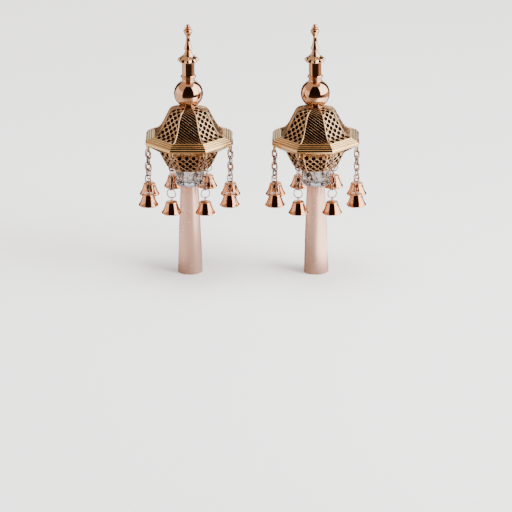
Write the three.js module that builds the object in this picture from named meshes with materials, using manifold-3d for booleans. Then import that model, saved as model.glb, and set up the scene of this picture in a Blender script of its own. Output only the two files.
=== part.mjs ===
// A pair of torah finials in rose gold metal. Each is a tapered sleeve that drops over a scroll
// roller's handle, a cut crystal collar, an eight-sided openwork lantern with a wide ridged brim,
// a polished ball on its roof, a neck under a petalled cap, and a turned spire. A chain with a
// small bell hangs under each corner of the brim.
// Millimetres, +Z up, the pair side by side along X, fronts facing -Y, origin between their feet.
import * as THREE from "three";
import { mergeVertices } from "three/addons/utils/BufferGeometryUtils.js";
import Module from "manifold-3d";

const wasm = await Module();
wasm.setup();

// Spacing of the two finials' axes
const PAIR_SPACING = 165;

// Sleeve: a slightly flared cone of sheet metal, open below
const SLEEVE_HEIGHT = 121;
const SLEEVE_FOOT_RADIUS = 16.2;
const SLEEVE_TOP_RADIUS = 11.6;
const SLEEVE_FLARE = 0.35;
const SLEEVE_WALL = 1.5;

// Crystal collar: a fluted drum, narrower below, with bevelled edges
const CRYSTAL_HEIGHT = 24;
const CRYSTAL_TOP_RADIUS = 19;
const CRYSTAL_FOOT_RADIUS = 17.8;
const CRYSTAL_FLUTES = 8;
const CRYSTAL_FLUTE_DEPTH = 1.4;
const CRYSTAL_BEVEL = 1.8;

// Lantern: eight-sided bowl, brim and roof, each radius measured to a corner
const LANTERN_SIDES = 8;
const SHEET = 1.5;
const BOWL_HEIGHT = 24;
const BOWL_FOOT_RADIUS = 26.5;
const BOWL_TOP_RADIUS = 40.5;
const BOWL_BULGE = 1;
const BRIM_RADIUS = 61.2;
const BRIM_UNDER_RISE = 11.2;
const BRIM_EDGE_HEIGHT = 5.6;
const BRIM_EDGE_BEVEL = 1.3;
const BRIM_TOP_RISE = 6;
const BRIM_RIDGES = 3;
const BRIM_RIDGE_LIP = 0.5;
const ROOF_FOOT_RADIUS = 44.6;
const ROOF_WAIST_RADIUS = 36.2;
const ROOF_SHOULDER_RADIUS = 27.8;
const ROOF_WAIST_RISE = 10;
const ROOF_SLOPE_HEIGHT = 27;
const ROOF_CROWN_RISE = 9.2;

// Ball on the roof, its collar, the neck, the petalled cap and the spire
const BALL_RADIUS = 19.05;
const BALL_SEAT_RADIUS = 8;
const COLLAR_RADIUS = 10.4;
const COLLAR_HEIGHT = 8;
const COLLAR_STEP = 1.8;
const NECK_RADIUS = 8.2;
const NECK_HEIGHT = 21.4;
const CAP_RADIUS = 13.6;
const CAP_HEIGHT = 9.4;
const CAP_LIP_DROP = 2.6;
const CAP_LIP_WIDTH = 1.2;
const CAP_LIP_HEIGHT = 1.5;
const CAP_PETALS = 8;
const CAP_PETAL_DEPTH = 0.8;
const SPIRE_HEIGHT = 38.6;
const SPIRE_FOOT_RADIUS = 4.4;
const SPIRE_BULB_RADIUS = 5.9;

// Chains under the brim's corners
const WIRE = 1.3;
const EYE_INSET = 3.2;
const EYE_WIDTH = 6;
const EYE_HEIGHT = 8.4;
const EYE_SUNK = 1.95;
const LINK_COUNT = 5;
const LINK_WIDTH = 8;
const LINK_HEIGHT = 12.4;
const BELL_RING_SIZE = 13.4;
const TOUCH_BITE = 0.25;
const HANG_GAP = 0.3;

// Bells
const BELL_HEIGHT = 16;
const BELL_CROWN_RADIUS = 6.9;
const BELL_WAIST_RADIUS = 9.6;
const BELL_WAIST_DEPTH = 9.4;
const BELL_LIP_RADIUS = 13.2;
const BELL_WALL = 1.3;
const BELL_LOOP_WIDTH = 5.2;
const BELL_LOOP_RISE = 8;
const CLAPPER_RADIUS = 2.6;
const CLAPPER_ROD_RADIUS = 0.9;

// Facets
const ROUND_SIDES = 12;
const NECK_SIDES = 12;
const SPIRE_SIDES = 8;
const BELL_SIDES = 9;
const CLAPPER_SIDES = 4;
const WIRE_SIDES = 3;
const LINK_SEGMENTS = 4;
const BELL_RING_SEGMENTS = 6;

// Heights up the axis, each from the piece below
const crystalFoot = SLEEVE_HEIGHT;
const bowlFoot = crystalFoot + CRYSTAL_HEIGHT;
const brimFoot = bowlFoot + BOWL_HEIGHT;
const brimEdgeFoot = brimFoot + BRIM_UNDER_RISE;
const brimEdgeTop = brimEdgeFoot + BRIM_EDGE_HEIGHT;
const roofFoot = brimEdgeTop + BRIM_TOP_RISE;
const roofShoulder = roofFoot + ROOF_SLOPE_HEIGHT;
const ballSeat = roofShoulder + ROOF_CROWN_RISE;
const ballSeatHalf = Math.sqrt(BALL_RADIUS ** 2 - BALL_SEAT_RADIUS ** 2);
const ballCentre = ballSeat + ballSeatHalf;
const collarFoot = ballCentre + ballSeatHalf;
const neckFoot = collarFoot + COLLAR_HEIGHT;
const capFoot = neckFoot + NECK_HEIGHT;
const spireFoot = capFoot + CAP_HEIGHT;

const roseGold = { color: 0xc8957a, roughness: 0.12, metalness: 1 };
const satinRose = { color: 0xdcb09e, roughness: 0.32, metalness: 1 };
const paleGold = { color: 0xd9b78c, roughness: 0.22, metalness: 1 };
const tanGold = { color: 0xc39d76, roughness: 0.3, metalness: 1 };
const copper = { color: 0xc47f5c, roughness: 0.1, metalness: 1 };
const wireRose = { color: 0xbb8f7f, roughness: 0.2, metalness: 1 };
const crystal = { color: 0xf2f4f5, roughness: 0.02, metalness: 0 };

// A solid of revolution about Z from [radius, height] pairs, up the outside and down the inside.
function turned(profile, sides, start = 0) {
  const points = profile.map(([radius, height]) => new THREE.Vector2(radius, height));
  return new THREE.LatheGeometry(points, sides, start, 2 * Math.PI).rotateX(Math.PI / 2);
}

// A lantern piece: eight flat sides, one facing front, from corner radii and heights.
function eightSided(profile) {
  return turned(profile, LANTERN_SIDES, Math.PI / LANTERN_SIDES);
}

// Circumradius of the wire's three-sided section
const wireReach = 0.65 * WIRE;

// A wire ring standing in the XZ plane, centred on the origin, with level bars above and below.
// The negative tube radius turns an edge of the wire's section to the inside of the ring.
function wireRing(width, height, segments) {
  const centreLine = (width - wireReach) / 2;
  const level = Math.cos(Math.PI / segments);
  const side = segments % 4 === 0 ? level : 1;
  const ring = new THREE.TorusGeometry(centreLine, -wireReach, WIRE_SIDES, segments);
  ring.rotateZ(Math.PI / 2 - Math.PI / segments).rotateX(Math.PI / 2);
  return ring.scale(1 / side, 1, height / width / level);
}

// Half the clear height inside a wire ring.
function ringInside(width, height) {
  return (height / 2) * (1 - 3 * wireReach / width);
}

// Turns a closed geometry into a manifold solid, ready to join.
function solidOf(geometry) {
  const bare = geometry.clone();
  bare.deleteAttribute("normal");
  bare.deleteAttribute("uv");
  const merged = mergeVertices(bare, 1e-4);
  return new wasm.Manifold(new wasm.Mesh({
    numProp: 3,
    vertProperties: merged.attributes.position.array,
    triVerts: new Uint32Array(merged.index.array),
  }));
}

// Joins closed geometries that touch into one.
function joined(geometries) {
  const mesh = geometries.map(solidOf).reduce((sum, next) => sum.add(next)).getMesh();
  const geometry = new THREE.BufferGeometry();
  geometry.setAttribute("position", new THREE.BufferAttribute(mesh.vertProperties, 3));
  geometry.setIndex(new THREE.BufferAttribute(mesh.triVerts, 1));
  return geometry;
}

// Moves every vertex: change(radius, height, angle) gives its new radius and height.
function reshaped(geometry, change) {
  const place = geometry.attributes.position;
  for (let i = 0; i < place.count; i += 1) {
    const angle = Math.atan2(place.getX(i), -place.getY(i));
    const radius = Math.hypot(place.getX(i), place.getY(i));
    const [newRadius, newHeight] = change(radius, place.getZ(i), angle);
    place.setXYZ(i, newRadius * Math.sin(angle), -newRadius * Math.cos(angle), newHeight);
  }
  return geometry;
}

// Azimuths of the lantern's corners, front left first, going round by the front right.
function cornerAngles() {
  return Array.from({ length: LANTERN_SIDES }, (_, i) => (2 * i - 1) * Math.PI / LANTERN_SIDES);
}

// Where a corner's chain hangs, seen from above: a little in from the brim's corner.
const eyeRadius = BRIM_RADIUS - EYE_INSET;

function cornerPlace(angle) {
  return [eyeRadius * Math.sin(angle), -eyeRadius * Math.cos(angle)];
}

function sleeve() {
  const middle = (SLEEVE_FOOT_RADIUS + SLEEVE_TOP_RADIUS) / 2 + SLEEVE_FLARE;
  return turned([
    [SLEEVE_FOOT_RADIUS - SLEEVE_WALL, 0],
    [SLEEVE_FOOT_RADIUS, 0],
    [middle, SLEEVE_HEIGHT / 2],
    [SLEEVE_TOP_RADIUS, SLEEVE_HEIGHT],
    [SLEEVE_TOP_RADIUS - SLEEVE_WALL, SLEEVE_HEIGHT],
    [SLEEVE_FOOT_RADIUS - SLEEVE_WALL, 0],
  ], ROUND_SIDES);
}

// Solid cut crystal: flutes up the wall, level faces above and below.
function crystalCollar() {
  const top = crystalFoot + CRYSTAL_HEIGHT;
  const drum = turned([
    [0, crystalFoot],
    [CRYSTAL_FOOT_RADIUS - CRYSTAL_BEVEL, crystalFoot],
    [CRYSTAL_FOOT_RADIUS, crystalFoot + CRYSTAL_BEVEL],
    [CRYSTAL_TOP_RADIUS, top - CRYSTAL_BEVEL],
    [CRYSTAL_TOP_RADIUS - CRYSTAL_BEVEL, top],
    [0, top],
  ], 2 * CRYSTAL_FLUTES);
  return reshaped(drum, (radius, height, angle) => {
    const fromEnd = Math.min(height - crystalFoot, top - height);
    const flute = CRYSTAL_FLUTE_DEPTH * (1 - Math.cos(CRYSTAL_FLUTES * angle)) / 2;
    return [fromEnd > CRYSTAL_BEVEL / 2 ? radius - flute : radius, height];
  });
}

// The lantern's lower shell: bulging walls over a flat floor.
function openworkBowl() {
  const middleRadius = (BOWL_FOOT_RADIUS + BOWL_TOP_RADIUS) / 2 + BOWL_BULGE;
  const middle = bowlFoot + BOWL_HEIGHT / 2;
  return eightSided([
    [0, bowlFoot],
    [BOWL_FOOT_RADIUS, bowlFoot],
    [middleRadius, middle],
    [BOWL_TOP_RADIUS, brimFoot],
    [BOWL_TOP_RADIUS - SHEET, brimFoot],
    [middleRadius - SHEET, middle],
    [BOWL_FOOT_RADIUS - SHEET, bowlFoot + SHEET],
    [0, bowlFoot + SHEET],
  ]);
}

// Ridges run round the brim's top like shallow steps, from the edge up to the roof's foot.
function brimTopRidges() {
  const edge = BRIM_RADIUS - BRIM_EDGE_BEVEL;
  const run = (edge - ROOF_FOOT_RADIUS) / BRIM_RIDGES;
  const rise = BRIM_TOP_RISE / BRIM_RIDGES;
  return Array.from({ length: BRIM_RIDGES }, (_, i) => [
    [edge - run * i, brimEdgeTop + rise * i + (i ? BRIM_RIDGE_LIP : 0)],
    [edge - run * (i + 0.7), brimEdgeTop + rise * (i + 1) - BRIM_RIDGE_LIP],
  ]).flat();
}

// Where a chain's eye is centred under the sloping underside of the brim
const eyeCentre = brimFoot - EYE_HEIGHT / 2 + EYE_SUNK + BRIM_UNDER_RISE
  * (eyeRadius - BOWL_TOP_RADIUS) / (BRIM_RADIUS - BRIM_EDGE_BEVEL - BOWL_TOP_RADIUS);

// The brim is a V of sheet metal, open to the lantern's inside, with a chain eye at each corner.
function brim() {
  const mouth = ROOF_FOOT_RADIUS - SHEET;
  const inside = BRIM_RADIUS - 2 * SHEET;
  const ring = eightSided([
    [BOWL_TOP_RADIUS - SHEET, brimFoot],
    [BOWL_TOP_RADIUS, brimFoot],
    [BRIM_RADIUS - BRIM_EDGE_BEVEL, brimEdgeFoot],
    [BRIM_RADIUS, brimEdgeFoot + BRIM_EDGE_BEVEL],
    [BRIM_RADIUS, brimEdgeTop - BRIM_EDGE_BEVEL],
    ...brimTopRidges(),
    [ROOF_FOOT_RADIUS, roofFoot],
    [mouth, roofFoot],
    [mouth, roofFoot - SHEET - BRIM_RIDGE_LIP],
    [inside, brimEdgeTop - SHEET],
    [inside, brimEdgeFoot + SHEET],
    [BOWL_TOP_RADIUS - SHEET, brimFoot + SHEET],
    [BOWL_TOP_RADIUS - SHEET, brimFoot],
  ]);
  const eyes = cornerAngles().map((angle) =>
    wireRing(EYE_WIDTH, EYE_HEIGHT, LINK_SEGMENTS)
      .rotateZ(angle)
      .translate(...cornerPlace(angle), eyeCentre));
  return joined([ring, ...eyes]);
}

// The lantern's roof: slopes that flare to the brim, a rounded shoulder and a low crown.
function openworkRoof() {
  const waist = roofFoot + ROOF_WAIST_RISE;
  const upper = roofShoulder + ROOF_CROWN_RISE / 2;
  const upperRadius = ROOF_SHOULDER_RADIUS - ROOF_CROWN_RISE / 3;
  return eightSided([
    [ROOF_FOOT_RADIUS, roofFoot],
    [ROOF_WAIST_RADIUS, waist],
    [ROOF_SHOULDER_RADIUS, roofShoulder],
    [upperRadius, upper],
    [BALL_SEAT_RADIUS, ballSeat],
    [0, ballSeat],
    [0, ballSeat - SHEET],
    [BALL_SEAT_RADIUS, ballSeat - SHEET],
    [upperRadius - SHEET, upper - SHEET],
    [ROOF_SHOULDER_RADIUS - 1.2 * SHEET, roofShoulder - SHEET / 2],
    [ROOF_WAIST_RADIUS - 1.2 * SHEET, waist],
    [ROOF_FOOT_RADIUS - 1.2 * SHEET, roofFoot],
    [ROOF_FOOT_RADIUS, roofFoot],
  ]);
}

// A ball with a level seat below and above.
function ball() {
  const seatAngle = Math.asin(BALL_SEAT_RADIUS / BALL_RADIUS);
  const bands = ROUND_SIDES / 2;
  const arc = Array.from({ length: bands }, (_, i) => {
    const angle = seatAngle + (Math.PI - 2 * seatAngle) * i / (bands - 1);
    return [BALL_RADIUS * Math.sin(angle), ballCentre - BALL_RADIUS * Math.cos(angle)];
  });
  return turned([[0, ballSeat], ...arc, [0, collarFoot]], ROUND_SIDES);
}

// A double-rolled ring between the ball and the neck.
function ballCollar() {
  return turned([
    [0, collarFoot],
    [BALL_SEAT_RADIUS, collarFoot],
    [COLLAR_RADIUS - COLLAR_STEP, collarFoot + COLLAR_HEIGHT * 0.25],
    [COLLAR_RADIUS - COLLAR_STEP, collarFoot + COLLAR_HEIGHT * 0.52],
    [COLLAR_RADIUS, collarFoot + COLLAR_HEIGHT * 0.66],
    [COLLAR_RADIUS, neckFoot],
    [0, neckFoot],
  ], NECK_SIDES);
}

function neck() {
  return turned([
    [0, neckFoot],
    [NECK_RADIUS, neckFoot],
    [NECK_RADIUS, capFoot],
    [0, capFoot],
  ], NECK_SIDES);
}

// A canopy of petals whose lip hangs a little below the neck's top.
function petalCap() {
  const lip = capFoot - CAP_LIP_DROP;
  const cap = turned([
    [0, capFoot],
    [NECK_RADIUS + HANG_GAP, capFoot],
    [CAP_RADIUS - CAP_LIP_WIDTH, lip],
    [CAP_RADIUS, lip + CAP_LIP_HEIGHT],
    [CAP_RADIUS * 0.84, capFoot + CAP_HEIGHT * 0.26],
    [CAP_RADIUS * 0.52, capFoot + CAP_HEIGHT * 0.56],
    [SPIRE_FOOT_RADIUS, spireFoot],
    [0, spireFoot],
  ], 2 * CAP_PETALS);
  return reshaped(cap, (radius, height, angle) => {
    const reach = THREE.MathUtils.smoothstep(radius, NECK_RADIUS + 1, CAP_RADIUS);
    const petal = CAP_PETAL_DEPTH * reach * Math.cos(CAP_PETALS * angle);
    return [radius + petal, height - petal / 2];
  });
}

// The turned spire: a bead, a waisted baluster, a bulb, a disc and a tip bead, each point as
// shares of the bulb's radius and of the height.
function spire() {
  const shape = [
    [0.71, 0], [0.78, 0.03], [0.63, 0.075],
    [0.93, 0.125], [0.61, 0.3], [0.41, 0.5],
    [0.86, 0.69], [1, 0.76], [0.75, 0.815], [0.32, 0.84],
    [0.73, 0.86], [0.66, 0.885], [0.25, 0.905], [0.39, 0.95],
  ];
  const profile = shape.map(([radius, share]) =>
    [SPIRE_BULB_RADIUS * radius, spireFoot + SPIRE_HEIGHT * share]);
  return turned([[0, spireFoot], ...profile, [0, spireFoot + SPIRE_HEIGHT]], SPIRE_SIDES);
}

// A chain about its own axis: from the brim's eye down, links and the bell's ring, each turned
// a quarter to the last. Gives the height of the ring's foot too.
function chainWithRing() {
  const link = [LINK_WIDTH, LINK_HEIGHT, LINK_SEGMENTS];
  const bellRing = [BELL_RING_SIZE, BELL_RING_SIZE, BELL_RING_SEGMENTS];
  let hangsAt = eyeCentre - ringInside(EYE_WIDTH, EYE_HEIGHT) + HANG_GAP + TOUCH_BITE;
  const rings = [...Array(LINK_COUNT).fill(link), bellRing].map(([width, height, segments], i) => {
    const inside = ringInside(width, height);
    const centre = hangsAt - TOUCH_BITE - inside;
    hangsAt = centre - inside;
    const quarter = (LINK_COUNT - i) * Math.PI / 2;
    return wireRing(width, height, segments).rotateZ(quarter).translate(0, 0, centre);
  });
  return { geometry: joined(rings), foot: hangsAt };
}

const chain = chainWithRing();
const bellLoopHeight = BELL_LOOP_RISE + BELL_WALL;
const bellCrown = chain.foot + HANG_GAP - BELL_LOOP_RISE + bellLoopHeight / 2
  - ringInside(BELL_LOOP_WIDTH, bellLoopHeight);

// A bell below the origin with its loop above the crown and a clapper inside.
function bell() {
  const lip = -BELL_HEIGHT;
  const shell = turned([
    [0, -BELL_WALL],
    [BELL_CROWN_RADIUS - BELL_WALL, -BELL_WALL],
    [BELL_WAIST_RADIUS - BELL_WALL, -BELL_WAIST_DEPTH],
    [BELL_LIP_RADIUS - 1.3 * BELL_WALL, lip],
    [BELL_LIP_RADIUS, lip],
    [BELL_WAIST_RADIUS, -BELL_WAIST_DEPTH],
    [BELL_CROWN_RADIUS, 0],
    [0, 0],
  ], BELL_SIDES);
  const loop = wireRing(BELL_LOOP_WIDTH, bellLoopHeight, LINK_SEGMENTS)
    .rotateZ(Math.PI / 2)
    .translate(0, 0, BELL_LOOP_RISE - bellLoopHeight / 2);
  const clapper = turned([
    [0, lip],
    [CLAPPER_RADIUS, lip + CLAPPER_RADIUS],
    [CLAPPER_ROD_RADIUS, lip + 2 * CLAPPER_RADIUS],
    [CLAPPER_ROD_RADIUS, -BELL_WALL / 2],
    [0, -BELL_WALL / 2],
  ], CLAPPER_SIDES);
  return joined([shell, loop, clapper]);
}

function named(name, geometry, finish) {
  const mesh = new THREE.Mesh(geometry, new THREE.MeshStandardMaterial(finish));
  mesh.name = name;
  return mesh;
}

function finial(side) {
  const group = new THREE.Group();
  group.add(
    named(`${side}_sleeve`, sleeve(), satinRose),
    named(`${side}_crystal_collar`, crystalCollar(), crystal),
    named(`${side}_openwork_bowl`, openworkBowl(), tanGold),
    named(`${side}_brim`, brim(), paleGold),
    named(`${side}_openwork_roof`, openworkRoof(), tanGold),
    named(`${side}_ball`, ball(), roseGold),
    named(`${side}_ball_collar`, ballCollar(), roseGold),
    named(`${side}_neck`, neck(), roseGold),
    named(`${side}_petal_cap`, petalCap(), roseGold),
    named(`${side}_spire`, spire(), roseGold),
  );
  const bellShape = bell();
  cornerAngles().forEach((angle, i) => {
    const hanging = new THREE.Group();
    hanging.position.set(...cornerPlace(angle), 0);
    hanging.rotation.z = angle;
    const hungBell = named(`${side}_bell_${i + 1}`, bellShape, copper);
    hungBell.position.z = bellCrown;
    hanging.add(named(`${side}_chain_${i + 1}`, chain.geometry, wireRose), hungBell);
    group.add(hanging);
  });
  return group;
}

const pair = new THREE.Group();
const leftFinial = finial("left");
leftFinial.position.x = -PAIR_SPACING / 2;
const rightFinial = finial("right");
rightFinial.position.x = PAIR_SPACING / 2;
pair.add(leftFinial, rightFinial);

export default pair;
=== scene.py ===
"""A pair of torah finials in rose gold metal: openwork lanterns hung with bells.

The left finial is modelled piece by piece on the frame's own measures, dressed, and copied to the
right one's place. Everything is in metres, +Z up, fronts facing -Y.
"""
import functools
import logging
import math
from dataclasses import dataclass, field
from enum import Enum
from typing import Callable, ClassVar, Sequence

import bmesh
import bpy
from mathutils import Matrix, Quaternion, Vector


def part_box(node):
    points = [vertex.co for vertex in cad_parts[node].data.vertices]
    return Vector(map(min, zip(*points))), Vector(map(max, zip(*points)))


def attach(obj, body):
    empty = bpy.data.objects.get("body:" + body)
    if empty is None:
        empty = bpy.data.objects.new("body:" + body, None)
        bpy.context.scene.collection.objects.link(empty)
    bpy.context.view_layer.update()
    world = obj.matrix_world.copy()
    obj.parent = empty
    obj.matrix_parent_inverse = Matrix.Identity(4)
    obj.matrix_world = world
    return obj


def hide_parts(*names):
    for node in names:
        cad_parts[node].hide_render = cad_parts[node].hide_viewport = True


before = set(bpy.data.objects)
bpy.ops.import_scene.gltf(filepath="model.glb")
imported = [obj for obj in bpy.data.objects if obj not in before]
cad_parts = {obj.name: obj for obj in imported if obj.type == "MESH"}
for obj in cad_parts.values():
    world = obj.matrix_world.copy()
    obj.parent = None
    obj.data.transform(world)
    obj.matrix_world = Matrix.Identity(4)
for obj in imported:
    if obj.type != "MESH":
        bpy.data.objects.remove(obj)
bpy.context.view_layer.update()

MM = 0.001
TAU = 2 * math.pi
SIDES = 8
HALF_SIDE = math.pi / SIDES
ROUNDNESS = 0.6          # power of a sine that makes a leaf or a moulding fuller
WELD = 2e-6              # distance under which two vertices become one
NEAR = 2e-6              # how far from its ideal place a vertex is still found
log = logging.getLogger("finials")

Point = tuple[float, float]
Colour = tuple[float, float, float]
Shape = bpy.types.Object
Tree = bpy.types.NodeTree
Node = bpy.types.Node
Socket = bpy.types.NodeSocket
PlaceTest = Callable[[Vector], bool]
FaceTest = Callable[[Vector, Vector], bool]


# Measures taken from the frame

def span(node: str) -> Point:
    """Gives the lowest and highest Z of a frame node."""
    low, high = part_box(node)
    return low[2], high[2]


def reach(node: str) -> float:
    """Gives a frame node's half width along X."""
    low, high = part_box(node)
    return (high[0] - low[0]) / 2


def axis_of(side: str) -> float:
    """Gives the X of a finial's axis."""
    low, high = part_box(f"{side}_sleeve")
    return (low[0] + high[0]) / 2


AXIS = axis_of("left")
SPACING = axis_of("right") - AXIS
ROOF_FOOT = 50.0 * MM          # corner radius of the roof's flared foot, on the brim
ROOF_FLARE_DROP = 1.6 * MM     # how far that foot lies below the solids' joint


# Modelling by hand

def deselect() -> None:
    """Deselects every object."""
    bpy.ops.object.select_all(action="DESELECT")


def only(piece: Shape) -> None:
    """Makes a piece the only selected and active object."""
    deselect()
    piece.select_set(True)
    bpy.context.view_layer.objects.active = piece


def begin(name: str) -> Shape:
    """Names the primitive just added, puts its place into its mesh and opens it for editing.

    Args:
        name: the new piece's name.

    Returns:
        The piece, in edit mode with everything selected.
    """
    piece = bpy.context.active_object
    piece.name = name
    bpy.ops.object.transform_apply(location=True, rotation=True, scale=True)
    bpy.ops.object.mode_set(mode="EDIT")
    bpy.ops.mesh.select_mode(type="VERT")
    bpy.ops.mesh.select_all(action="SELECT")
    return piece


def reopen(piece: Shape) -> None:
    """Opens a closed piece for editing again."""
    only(piece)
    bpy.ops.object.mode_set(mode="EDIT")


def close() -> None:
    """Merges doubles, turns the faces outwards and leaves edit mode."""
    bpy.ops.mesh.select_all(action="SELECT")
    bpy.ops.mesh.remove_doubles(threshold=WELD)
    bpy.ops.mesh.normals_make_consistent(inside=False)
    bpy.ops.object.mode_set(mode="OBJECT")


def pick(piece: Shape, test: PlaceTest) -> int:
    """Selects the vertices of an open piece that pass a test of their place.

    Args:
        piece: a piece in edit mode.
        test: takes a vertex's place and says whether it is wanted.

    Returns:
        How many vertices were selected.
    """
    bpy.ops.mesh.select_mode(type="VERT")
    shape = bmesh.from_edit_mesh(piece.data)
    count = 0
    for vertex in shape.verts:
        vertex.select_set(test(vertex.co))
        count += vertex.select
    shape.select_flush_mode()
    bmesh.update_edit_mesh(piece.data)
    return count


def spread(piece: Shape, test: PlaceTest, scale: float) -> None:
    """Scales some vertices of an open piece away from the left axis.

    Args:
        piece: a piece in edit mode.
        test: takes a vertex's place and says whether it is moved.
        scale: what its distance from the axis is multiplied by.
    """
    if pick(piece, test):
        bpy.ops.transform.resize(value=(scale, scale, 1.0), center_override=(AXIS, 0.0, 0.0))


def modify(piece: Shape, kind: str, **settings: object) -> None:
    """Adds a modifier to a piece and applies it.

    Args:
        piece: the piece to change.
        kind: the modifier's type.
        settings: the modifier's properties.
    """
    only(piece)
    modifier = piece.modifiers.new(kind.title(), kind)
    for key, value in settings.items():
        setattr(modifier, key, value)
    bpy.ops.object.modifier_apply(modifier=modifier.name)


def smooth(piece: Shape, angle: float = 32.0) -> Shape:
    """Shades a piece smooth up to an angle in degrees and gives it back."""
    only(piece)
    bpy.ops.object.shade_smooth_by_angle(angle=math.radians(angle))
    return piece


def line(name: str, points: Sequence[Point]) -> Shape:
    """Draws a line of edges beside the left axis, growing it a point at a time.

    Args:
        name: the piece's name.
        points: radius and height of each point.

    Returns:
        The piece, in edit mode with its last vertex selected.
    """
    deselect()
    bpy.ops.mesh.primitive_plane_add(size=MM, location=(AXIS + points[0][0], 0.0, points[0][1]))
    piece = begin(name)
    bpy.ops.mesh.merge(type="CENTER")
    for here, there in zip(points, points[1:]):
        step = (there[0] - here[0], 0.0, there[1] - here[1])
        bpy.ops.mesh.extrude_vertices_move(TRANSFORM_OT_translate={"value": step})
    return piece


def turned(name: str, points: Sequence[Point], steps: int = 64) -> Shape:
    """Spins a profile about the left axis into a closed solid.

    Args:
        name: the piece's name.
        points: radius and height of the profile, closed or from axis to axis.
        steps: how many steps the spin takes.

    Returns:
        The finished solid, out of edit mode.
    """
    piece = line(name, points)
    bpy.ops.mesh.select_all(action="SELECT")
    bpy.ops.mesh.spin(steps=steps, angle=TAU, center=(AXIS, 0.0, 0.0), axis=(0.0, 0.0, 1.0))
    close()
    return piece


def eight_sided(name: str, points: Sequence[Point]) -> Shape:
    """Spins a profile of corner radii into an eight-sided solid with a flat side to the front."""
    piece = turned(name, points, SIDES)
    turn(piece, HALF_SIDE)
    return piece


def rod(name: str, points: Sequence[Point], radius: float) -> Shape:
    """Runs a round wire along a line beside the left axis.

    Args:
        name: the piece's name.
        points: radius and height of each bend.
        radius: half the wire's thickness.

    Returns:
        The wire, a closed mesh.
    """
    wire = line(name, points)
    bpy.ops.object.mode_set(mode="OBJECT")
    only(wire)
    bpy.ops.object.convert(target="CURVE")
    wire.data.bevel_depth = radius
    wire.data.bevel_resolution = 2
    wire.data.use_fill_caps = True
    bpy.ops.object.convert(target="MESH")
    return smooth(bpy.context.active_object, 60)


def turn(piece: Shape, angle: float) -> None:
    """Turns a piece's mesh about the left axis, anticlockwise from above."""
    centre = Matrix.Translation((AXIS, 0.0, 0.0))
    piece.data.transform(centre @ Matrix.Rotation(angle, 4, "Z") @ centre.inverted())


def copied(piece: Shape, name: str, angle: float = 0.0) -> Shape:
    """Copies a piece with its own mesh, turned about the left axis.

    Args:
        piece: what to copy.
        name: the copy's name.
        angle: turn from above, anticlockwise.

    Returns:
        The copy.
    """
    twin = piece.copy()
    twin.data = piece.data.copy()
    twin.name = name
    bpy.context.collection.objects.link(twin)
    turn(twin, angle)
    return twin


def ringed(first: Shape, count: int) -> list[Shape]:
    """Copies a piece round the left axis until there are as many as asked."""
    return [first] + [copied(first, f"{first.name}_{i}", TAU * i / count) for i in range(1, count)]


def joined(name: str, parts: Sequence[Shape]) -> Shape:
    """Joins pieces into one object and names it."""
    deselect()
    for part in parts:
        part.select_set(True)
    bpy.context.view_layer.objects.active = parts[0]
    bpy.ops.object.join()
    parts[0].name = name
    return parts[0]


def curve_through(knots: Sequence[Point], steps: int = 6) -> list[Point]:
    """Rounds a list of profile knots into a smooth run of points.

    Args:
        knots: points that the curve passes through.
        steps: points made for each stretch between knots.

    Returns:
        The curve's points, first and last knots included.
    """
    ends = [knots[0], *knots, knots[-1]]
    points = [knots[0]]
    for before, start, end, after in zip(ends, ends[1:], ends[2:], ends[3:]):
        for i in range(1, steps + 1):
            t = i / steps
            points.append(tuple(
                0.5 * (2 * s + (e - b) * t + (2 * b - 5 * s + 4 * e - a) * t * t
                       + (3 * s - b - 3 * e + a) * t ** 3)
                for b, s, e, a in zip(before, start, end, after)))
    return points


def arc(centre: Point, radius: float, start: float, end: float, steps: int) -> list[Point]:
    """Gives points along an arc in a profile, its angles in degrees from the outward direction."""
    angles = (math.radians(start + (end - start) * i / steps) for i in range(steps + 1))
    return [(centre[0] + radius * math.cos(a), centre[1] + radius * math.sin(a)) for a in angles]


# Finishes

GRAIN_FINENESS = 9.0     # how many times finer the polish varies than the tone
DENT_DEPTH = 0.2 * MM


def add_node(tree: Tree, kind: str, values: dict[str | int, object] | None = None,
             **settings: object) -> Node:
    """Adds a node to a tree.

    Args:
        tree: the tree to add to.
        kind: the node's type, without its leading "ShaderNode".
        values: values of its input sockets, by name or number.
        settings: its properties.

    Returns:
        The node.
    """
    made = tree.nodes.new(f"ShaderNode{kind}")
    for key, value in settings.items():
        setattr(made, key, value)
    for socket, value in (values or {}).items():
        made.inputs[socket].default_value = value
    return made


def connect(tree: Tree, *pairs: tuple[Socket, Socket]) -> None:
    """Links pairs of sockets, each from an output to an input."""
    for start, end in pairs:
        tree.links.new(start, end)


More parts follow.
